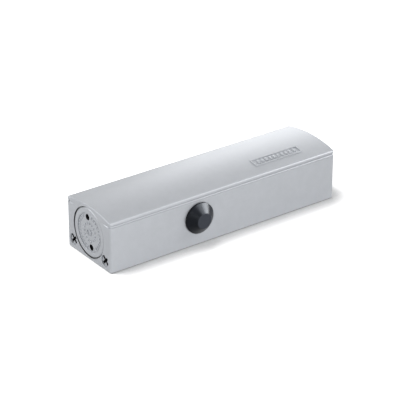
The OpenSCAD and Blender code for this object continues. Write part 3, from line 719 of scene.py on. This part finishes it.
class Bench:
    """Modelling by hand with Blender's own operators.

    Attributes:
        square_on: Least cosine between a face's normal and the way that it is said to look.
    """

    square_on = 0.9

    @staticmethod
    def clear() -> None:
        """Leave edit mode and deselect everything."""
        if bpy.context.object and bpy.context.object.mode != "OBJECT":
            bpy.ops.object.mode_set(mode="OBJECT")
        bpy.ops.object.select_all(action="DESELECT")

    @staticmethod
    def choose(piece: bpy.types.Object) -> None:
        """Select one piece alone and make it active.

        Args:
            piece: The piece.
        """
        Bench.clear()
        piece.select_set(True)
        bpy.context.view_layer.objects.active = piece

    @staticmethod
    def edit(piece: bpy.types.Object) -> None:
        """Enter edit mode on one piece with all of it selected.

        Args:
            piece: The piece.
        """
        Bench.choose(piece)
        bpy.ops.object.mode_set(mode="EDIT")
        bpy.ops.mesh.select_all(action="SELECT")

    @staticmethod
    def block(centre: tuple[float, float, float], size: tuple[float, float, float]) -> bpy.types.Object:
        """Model a plain block.

        Args:
            centre: Its centre.
            size: Its three sides.

        Returns:
            The block.
        """
        Bench.clear()
        bpy.ops.mesh.primitive_cube_add(size=1, location=centre, scale=size)
        bpy.ops.object.transform_apply(location=True, rotation=True, scale=True)
        return bpy.context.object

    @staticmethod
    def taper(piece: bpy.types.Object, outwards: Vector, share: tuple[float, float, float],
              bevel: float) -> None:
        """Narrow a block's outer face and break its edges.

        Args:
            piece: The block.
            outwards: Direction that the outer face looks in.
            share: Share of each side that the outer face keeps.
            bevel: Width of the broken edges.
        """
        Bench.edit(piece)
        Bench.pick(piece, lambda face: face.normal.dot(outwards) > Bench.square_on)
        bpy.ops.transform.resize(value=share)
        bpy.ops.mesh.select_all(action="SELECT")
        bpy.ops.mesh.bevel(offset=bevel, segments=2, affect="EDGES")
        bpy.ops.object.mode_set(mode="OBJECT")

    @staticmethod
    def pick(piece: bpy.types.Object, wanted: Callable[[bpy.types.MeshPolygon], bool]) -> None:
        """Select some faces of a piece and stay in edit mode.

        Args:
            piece: The active piece, in edit mode.
            wanted: Test of each face.
        """
        bpy.ops.mesh.select_mode(type="FACE")
        bpy.ops.mesh.select_all(action="DESELECT")
        bpy.ops.object.mode_set(mode="OBJECT")
        for face in piece.data.polygons:
            face.select = wanted(face)
        bpy.ops.object.mode_set(mode="EDIT")

    @staticmethod
    def close(piece: bpy.types.Object) -> None:
        """Merge doubles, fill what is open and point all faces outwards.

        Args:
            piece: The active piece, in edit mode.
        """
        bpy.ops.mesh.select_mode(type="VERT")
        bpy.ops.mesh.select_all(action="SELECT")
        bpy.ops.mesh.remove_doubles(threshold=0.001 * MM)
        bpy.ops.mesh.fill_holes(sides=0)
        bpy.ops.mesh.select_all(action="SELECT")
        bpy.ops.mesh.normals_make_consistent(inside=False)
        bpy.ops.object.mode_set(mode="OBJECT")

    @staticmethod
    def smooth(piece: bpy.types.Object, angle: float = 30.0) -> None:
        """Shade a piece smooth up to an angle in degrees."""
        Bench.choose(piece)
        bpy.ops.object.shade_smooth_by_angle(angle=math.radians(angle))

    @staticmethod
    def finish(piece: bpy.types.Object, name: str, material: bpy.types.Material, slot: str,
               body: str) -> None:
        """Settle a piece: transforms, name, finish and body.

        Args:
            piece: The piece.
            name: Its name.
            material: Its finish.
            slot: Name of a material slot; not used.
            body: The body that it rides on.
        """
        Bench.choose(piece)
        bpy.ops.object.transform_apply(location=True, rotation=True, scale=True)
        piece.name = name
        piece.data.name = name
        piece.data.materials.clear()
        piece.data.materials.append(material)
        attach(piece, body)
        LOG.info("%s: %d faces, rides on %s", name, len(piece.data.polygons), body)

    @staticmethod
    def twin(piece: bpy.types.Object, move: Matrix) -> bpy.types.Object:
        """Copy a piece with a mesh of its own.

        Args:
            piece: The piece to copy.
            move: What the copy's mesh is moved by.

        Returns:
            The copy.
        """
        copy = piece.copy()
        copy.data = piece.data.copy()
        copy.data.transform(move)
        bpy.context.scene.collection.objects.link(copy)
        return copy

    @staticmethod
    def join(pieces: list[bpy.types.Object]) -> bpy.types.Object:
        """Join pieces into the first of them.

        Args:
            pieces: The pieces.

        Returns:
            The joined piece.
        """
        Bench.clear()
        for piece in pieces:
            piece.select_set(True)
        bpy.context.view_layer.objects.active = pieces[0]
        bpy.ops.object.join()
        return pieces[0]


@dataclass
class CoilSpring:
    """One closing spring, wound from round wire with closed and ground ends.

    Attributes:
        node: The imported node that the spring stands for.
        outside: Outer radius of the coils.
        start: End that bears on the piston.
        end: End that bears on the spring plate.
        parting: Where the piece that follows the plate begins.
        end_gap: Gap between the coils that close each end.
        steps: Steps in one turn.
        sides: Sides of the wire's section.
    """

    node: str
    wire: float
    turns: int
    outside: float
    start: float = 26.0 * MM
    end: float = 111.57 * MM
    parting: float = 91.57 * MM
    piston_travel: float = 31.4 * MM
    plate_travel: float = 10 * MM
    end_gap: float = 0.6 * MM
    steps: int = 24
    sides: int = 14

    def feed(self, step: int) -> float:
        """Distance that the wire runs along the axis in one step.

        Args:
            step: Number of the step.

        Returns:
            The distance.
        """
        closed = self.wire + self.end_gap
        free = (self.end - self.start - self.wire - 2 * closed) / (self.turns - 2)
        turn = (step + 0.5) / self.steps
        return (closed if turn < 1 or turn > self.turns - 1 else free) / self.steps

    def build(self, material: bpy.types.Material) -> None:
        """Wind the spring, and part it where each end's travel stops.

        Args:
            material: Its finish.
        """
        Bench.clear()
        centre = (self.start + self.wire / 2, self.outside - self.wire / 2, BORE_Z)
        bpy.ops.mesh.primitive_circle_add(vertices=self.sides, radius=self.wire / 2, location=centre)
        coil = bpy.context.object
        bpy.ops.object.mode_set(mode="EDIT")
        for step in range(self.turns * self.steps):
            bpy.ops.mesh.extrude_region_move(TRANSFORM_OT_translate={"value": (self.feed(step), 0, 0)})
            bpy.ops.transform.rotate(value=2 * math.pi / self.steps, orient_axis="X",
                                     orient_type="GLOBAL", center_override=(0, 0, BORE_Z))
        Bench.close(coil)
        low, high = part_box(self.node)
        self.trim(coil, low.x, -1)
        self.trim(coil, high.x, 1)
        rest = Bench.twin(coil, Matrix.Identity(4))
        self.end_piece(coil, "_wire", self.start, material)
        self.end_piece(rest, "_wire_at_plate", self.end, material)

    def end_piece(self, coil: bpy.types.Object, tail: str, far: float,
                  material: bpy.types.Material) -> None:
        """Finish the part of the spring that one joint compresses.

        Args:
            coil: The whole spring.
            tail: End of the piece's name.
            far: Where along the axis the joint pushes.
            material: Its finish.
        """
        self.trim(coil, self.parting, 1 if far < self.parting else -1)
        Bench.smooth(coil, angle=50)
        Bench.finish(coil, self.node + tail, material, "spring_steel", "closer_body")
        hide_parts(self.node)
        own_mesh(coil)

    def trim(self, coil: bpy.types.Object, x: float, way: int) -> None:
        """Cut the wire square across the axis and close it.

        Args:
            coil: The spring.
            x: Where the cut is.
            way: Side that goes, 1 towards the plate and -1 towards the piston.
        """
        Bench.edit(coil)
        bpy.ops.mesh.bisect(plane_co=(x, 0, 0), plane_no=(way, 0, 0), use_fill=True, clear_outer=True)
        bpy.ops.object.mode_set(mode="OBJECT")


@dataclass
class PlugMarks:
    """Raised marks in the dished face of the damping end's plug.

    Attributes:
        face_x: Where the dished face is.
        sunk: How far the ticks reach into the plug, and the circles half as far.
        tick_top: Share of its width and length that a tick's face keeps.
        outer_ticks: Radius and number of the outer ticks.
        inner_ticks: Radius and number of the inner ticks.
        holes_at: Angle of the spanner holes, in degrees from the top.
        hole_clearance: Angle on both sides of a hole that holds no outer tick.
        circles: Radii of the raised circles.
        line: Width of a circle's line.
    """

    face_x: float = DAMPING_END_X + 0.8 * MM
    rise: float = 0.7 * MM
    sunk: float = 0.1 * MM
    tick_l: float = 1.9 * MM
    tick_w: float = 1.1 * MM
    tick_top: tuple[float, float] = (0.6, 0.86)
    tick_bevel: float = 0.07 * MM
    outer_ticks: tuple[float, int] = (13.6 * MM, 28)
    inner_ticks: tuple[float, int] = (7.6 * MM, 15)
    holes_at: float = 10.5
    hole_clearance: float = 16.0
    circles: tuple[float, ...] = (15.8 * MM, 2.6 * MM)
    line: float = 0.4 * MM
    line_bevel: float = 0.12 * MM
    line_sides: int = 96

    def build(self, material: bpy.types.Material) -> None:
        """Model the marks as one piece.

        Args:
            material: Their finish.
        """
        pieces = [self.circle(radius) for radius in self.circles]
        for (radius, count), clearance in ((self.outer_ticks, self.hole_clearance), (self.inner_ticks, 0)):
            tick = self.tick(radius)
            for i in range(count):
                angle = i * 360 / count
                from_hole = abs((angle - self.holes_at + 90) % 180 - 90)
                if from_hole >= clearance:
                    pieces.append(Bench.twin(tick, self.turned(angle)))
            bpy.data.objects.remove(tick)
        marks = Bench.join(pieces)
        Bench.smooth(marks)
        Bench.finish(marks, "end_plug_marks", material, "powder_coat", "closer_body")

    def turned(self, angle: float) -> Matrix:
        """Turn about the plug's axis, clockwise from the top as seen from outside."""
        centre = Matrix.Translation((0, 0, BORE_Z))
        return centre @ Matrix.Rotation(math.radians(-angle), 4, "X") @ centre.inverted()

    def tick(self, radius: float) -> bpy.types.Object:
        """Model one tick above the plug's axis.

        Args:
            radius: Its middle radius.

        Returns:
            The tick.
        """
        tick = Bench.block((self.face_x - (self.rise - self.sunk) / 2, 0, BORE_Z + radius),
                           (self.rise + self.sunk, self.tick_w, self.tick_l))
        Bench.taper(tick, Vector((-1, 0, 0)), (1, *self.tick_top), self.tick_bevel)
        return tick

    def circle(self, radius: float) -> bpy.types.Object:
        """Model one raised circle about the plug's axis.

        Args:
            radius: Its middle radius.

        Returns:
            The circle.
        """
        Bench.clear()
        bpy.ops.mesh.primitive_circle_add(
            vertices=self.line_sides, radius=radius + self.line / 2, fill_type="NGON",
            location=(self.face_x + self.sunk / 2, 0, BORE_Z), rotation=(0, -math.pi / 2, 0))
        ring = bpy.context.object
        bpy.ops.object.transform_apply(location=True, rotation=True, scale=True)
        bpy.ops.object.mode_set(mode="EDIT")
        bpy.ops.mesh.select_all(action="SELECT")
        bpy.ops.mesh.inset(thickness=self.line)
        bpy.ops.mesh.delete(type="FACE")
        bpy.ops.mesh.select_all(action="SELECT")
        outwards = (-self.rise - self.sunk / 2, 0, 0)
        bpy.ops.mesh.extrude_region_move(TRANSFORM_OT_translate={"value": outwards})
        bpy.ops.mesh.select_mode(type="EDGE")
        bpy.ops.mesh.region_to_loop()
        bpy.ops.mesh.bevel(offset=self.line_bevel, segments=2, affect="EDGES")
        bpy.ops.mesh.select_all(action="SELECT")
        bpy.ops.mesh.normals_make_consistent(inside=False)
        bpy.ops.object.mode_set(mode="OBJECT")
        return ring


@dataclass
class PanelRibs:
    """Short raised ribs inside the outline on the crown.

    Attributes:
        y: Place of the row across the body.
        sunk: How far a rib reaches into the crown.
        top: Share of its width and length that a rib's top keeps.
        crown_r: Radius of the crown.
        crown_z: Height of the crown's axis.
    """

    first_x: float = 69.9 * MM
    last_x: float = 105.9 * MM
    count: int = 10
    y: float = -14.9 * MM
    length: float = 4.6 * MM
    width: float = 1.9 * MM
    rise: float = 0.8 * MM
    sunk: float = 0.15 * MM
    top: tuple[float, float] = (0.66, 0.92)
    bevel: float = 0.1 * MM
    crown_r: float = 114.5 * MM
    crown_z: float = -67.5 * MM

    def build(self, material: bpy.types.Material) -> None:
        """Model the ribs as one piece.

        Args:
            material: Their finish.
        """
        rib = Bench.block((0, 0, (self.rise - self.sunk) / 2),
                          (self.width, self.length, self.rise + self.sunk))
        Bench.taper(rib, Vector((0, 0, 1)), (*self.top, 1), self.bevel)
        lean = math.asin(-self.y / self.crown_r)
        crown = self.crown_z + self.crown_r * math.cos(lean)
        pitch = (self.last_x - self.first_x) / (self.count - 1)
        ribs = []
        for i in range(self.count):
            place = Matrix.Translation((self.first_x + i * pitch, self.y, crown))
            ribs.append(Bench.twin(rib, place @ Matrix.Rotation(lean, 4, "X")))
        bpy.data.objects.remove(rib)
        joined = Bench.join(ribs)
        Bench.smooth(joined)
        Bench.finish(joined, "panel_ribs", material, "powder_coat", "closer_body")


@dataclass(frozen=True)
class Softbox:
    """A rectangular lamp that faces the closer.

    Attributes:
        place: Its place in metres.
        size: Its two sides.
        power: Its power in watts.
        along: Direction that its second side leans towards.
        lit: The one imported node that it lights, or nothing for all.
    """

    name: str
    place: tuple[float, float, float]
    size: tuple[float, float]
    power: float
    along: tuple[float, float, float] = (0.0, 0.0, 1.0)
    lit: str = ""

    def hang(self, target: Vector) -> None:
        """Hang the lamp. It lights everything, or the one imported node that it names.

        Args:
            target: What it faces.
        """
        light = bpy.data.lights.new(self.name, "AREA")
        light.shape = "RECTANGLE"
        light.size, light.size_y = self.size
        light.energy = self.power
        lamp = bpy.data.objects.new(self.name, light)
        lamp.location = self.place
        lamp.rotation_mode = "QUATERNION"
        back = (Vector(self.place) - target).normalized()
        side = Vector(self.along).cross(back).normalized()
        lamp.rotation_quaternion = Matrix((side, back.cross(side), back)).transposed().to_quaternion()
        bpy.context.scene.collection.objects.link(lamp)
        if self.lit:
            alone = bpy.data.collections.new(self.name + "_receiver")
            alone.objects.link(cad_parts[self.lit])
            lamp.light_linking.receiver_collection = alone


CAP_ARC = (-0.372, -0.316, 0.404)
SOFTBOXES = (
    Softbox("back_softbox", (0.6, 0.5, 0.22), (0.55, 0.45), power=1.6),
    Softbox("front_fill", (-0.1, -0.42, 0.12), (0.28, 0.2), power=0.85),
    Softbox("left_fill", (-0.5, 0.3, 0.4), (0.6, 0.5), power=2.3),
    Softbox("right_strip", (0.607, -0.386, 0.505), (0.16, 0.45), power=2.4,
            along=(-0.275, -0.14, 0.24)),
    Softbox("cap_strip", (0.748, -0.305, 0.42), (0.3, 0.58), power=19.0,
            along=CAP_ARC, lit="pinion_cap"),
    Softbox("cap_shoulder", (0.306, -0.54, 0.655), (0.3, 0.35), power=5.0,
            along=CAP_ARC, lit="pinion_cap"),
)


@dataclass
class Studio:
    """Pale floor, soft lights and the camera.

    Attributes:
        azimuth: Turn of the camera about the closer, in degrees from its front.
        elevation: Rise of the camera in degrees.
        target: What the camera and the lamps face.
        distance: Distance from the camera to the target.
        slide: Shift of the camera to its right and upwards.
        focal_pixels: Focal length in pixels of the photograph.
        frame_pixels: Width of the photograph in pixels.
        sensor: Width of the camera's sensor in millimetres.
        ambient: Strength of the world as a light.
        floor_glow: Glow of the floor in mirrored views of it.
        floor_seen: Glow of the floor as the camera sees it.
        shade_depth: How fast the contact shade fades.
        shade_reach: How far the contact shade reaches.
        shade_lean: Direction from which the contact shade is open.
    """

    azimuth: float = -36.129
    elevation: float = 27.012
    target: Vector = Vector((26.6 * MM, 0.0, 20.0 * MM))
    distance: float = 1551.042 * MM
    slide: tuple[float, float] = (-3.018 * MM, -1.185 * MM)
    focal_pixels: float = 1935.815
    frame_pixels: float = 400.0
    sensor: float = 36.0
    ambient: float = 0.2
    floor_size: float = 12.0
    floor_z: float = -0.05 * MM
    floor_grey: float = 0.8
    floor_glow: float = 0.5
    floor_seen: float = 0.8
    shade_depth: float = 2.5
    shade_reach: float = 18 * MM
    shade_lean: Vector = Vector((-0.85, 0.35, 0.4))

    def build(self) -> None:
        """Build the whole studio."""
        self.place_camera()
        self.lay_floor()
        self.light_world()
        for softbox in SOFTBOXES:
            softbox.hang(self.target)
        bpy.context.scene.view_settings.view_transform = "Standard"

    def place_camera(self) -> None:
        """Stand the camera where the photograph was taken."""
        turn, rise = math.radians(self.azimuth), math.radians(self.elevation)
        back = Vector((math.sin(turn) * math.cos(rise), -math.cos(turn) * math.cos(rise), math.sin(rise)))
        right = Vector((math.cos(turn), math.sin(turn), 0))
        above = back.cross(right)
        lens = bpy.data.cameras.new("camera")
        lens.sensor_fit = "HORIZONTAL"
        lens.sensor_width = self.sensor
        lens.lens = self.focal_pixels / self.frame_pixels * self.sensor
        lens.clip_start, lens.clip_end = 0.05, 20.0
        camera = bpy.data.objects.new("camera", lens)
        camera.matrix_world = Matrix((right, above, back)).transposed().to_4x4()
        camera.location = self.target + back * self.distance + right * self.slide[0] + above * self.slide[1]
        bpy.context.scene.collection.objects.link(camera)
        bpy.context.scene.camera = camera

    def lay_floor(self) -> None:
        """Lay a pale floor just below the closer."""
        Bench.clear()
        bpy.ops.mesh.primitive_plane_add(size=self.floor_size, location=(0, 0, self.floor_z))
        floor = bpy.context.object
        floor.name = "floor"
        paint = bpy.data.materials.new("pale_floor")
        paint.use_nodes = True
        paint.node_tree.nodes.clear()
        sheet = Sheet(paint.node_tree)
        shader = sheet.add("ShaderNodeBsdfPrincipled", {
            "Base Color": (self.floor_grey,) * 3, "Roughness": 1.0, "Specular IOR Level": 0.0,
            "Emission Color": (1, 1, 1), "Emission Strength": self.glow(sheet),
        })
        sheet.add("ShaderNodeOutputMaterial", {"Surface": shader.outputs[0]})
        floor.data.materials.append(paint)

    def glow(self, sheet: Sheet) -> Socket:
        """Glow of the floor, which the camera sees shaded close to the closer.

        Args:
            sheet: The floor's sheet.

        Returns:
            The strength.
        """
        lean = sheet.add("ShaderNodeCombineXYZ", dict(zip("XYZ", self.shade_lean)))
        shade = sheet.add("ShaderNodeAmbientOcclusion", {
            "Distance": self.shade_reach, "Normal": lean.outputs[0],
        }, samples=16)
        closed = sheet.maths("MULTIPLY_ADD", shade.outputs["AO"], -self.shade_depth, self.shade_depth,
                             clamp=True)
        camera = sheet.add("ShaderNodeLightPath").outputs["Is Camera Ray"]
        clear = sheet.maths("SUBTRACT", 1.0, sheet.maths("MULTIPLY", closed, camera))
        full = sheet.span(camera, self.floor_glow, self.floor_seen)
        return sheet.maths("MULTIPLY", self.seen(sheet), sheet.maths("MULTIPLY", clear, full))

    @staticmethod
    def seen(sheet: Sheet) -> Socket:
        """Mask camera, glossy and transmission rays.

        Args:
            sheet: The sheet that it goes on.

        Returns:
            1 for those rays and 0 for all others.
        """
        ray = sheet.add("ShaderNodeLightPath").outputs
        either = sheet.maths("MAXIMUM", ray["Is Camera Ray"], ray["Is Glossy Ray"])
        return sheet.maths("MAXIMUM", either, ray["Is Transmission Ray"])

    def light_world(self) -> None:
        """Light the world plainly and show it white."""
        world = bpy.data.worlds.new("studio")
        bpy.context.scene.world = world
        world.use_nodes = True
        world.node_tree.nodes.clear()
        sheet = Sheet(world.node_tree)
        strength = sheet.span(self.seen(sheet), self.ambient, 1.0)
        glow = sheet.add("ShaderNodeBackground", {"Color": (1, 1, 1), "Strength": strength})
        sheet.add("ShaderNodeOutputWorld", {"Surface": glow.outputs[0]})


WORN_BY = {
    "coat": ("housing",),
    "plug": ("end_plug", "spring_end_plug"),
    "cap": ("pinion_cap",),
    "pinion": ("pinion_shaft",),
    "ring": ("retaining_rings",),
    "piston": ("piston", "spring_plate", "check_ball"),
    "spindle": ("adjusting_spindle",),
    "filler": ("filler_plug",),
    "closing": ("closing_speed_valve",),
    "latching": ("latching_speed_valve",),
    "bush": ("pinion_bushes",),
    "washer": ("thrust_washer", "piston_guide_ring"),
    "brass": ("check_valve_insert", "relief_valve"),
    "rubber": ("plug_seals", "shaft_seals", "piston_seal", "spindle_seal", "closing_valve_seal",
               "latching_valve_seal"),
}


def main() -> None:
    """Build the closer's dress and its studio."""
    logging.basicConfig(level=logging.INFO, format="%(name)s: %(message)s")
    finishes = Finishes()
    for key, nodes in WORN_BY.items():
        finishes.dress(key, nodes)
    wire = finishes.materials["spring"]
    CoilSpring("outer_closing_spring", wire=4.4 * MM, turns=9, outside=17.3 * MM).build(wire)
    CoilSpring("inner_closing_spring", wire=2.7 * MM, turns=14, outside=11.7 * MM).build(wire)
    PlugMarks().build(finishes.materials["plug"])
    PanelRibs().build(finishes.materials["coat"])
    Studio().build()


if __name__ == "__main__":
    main()
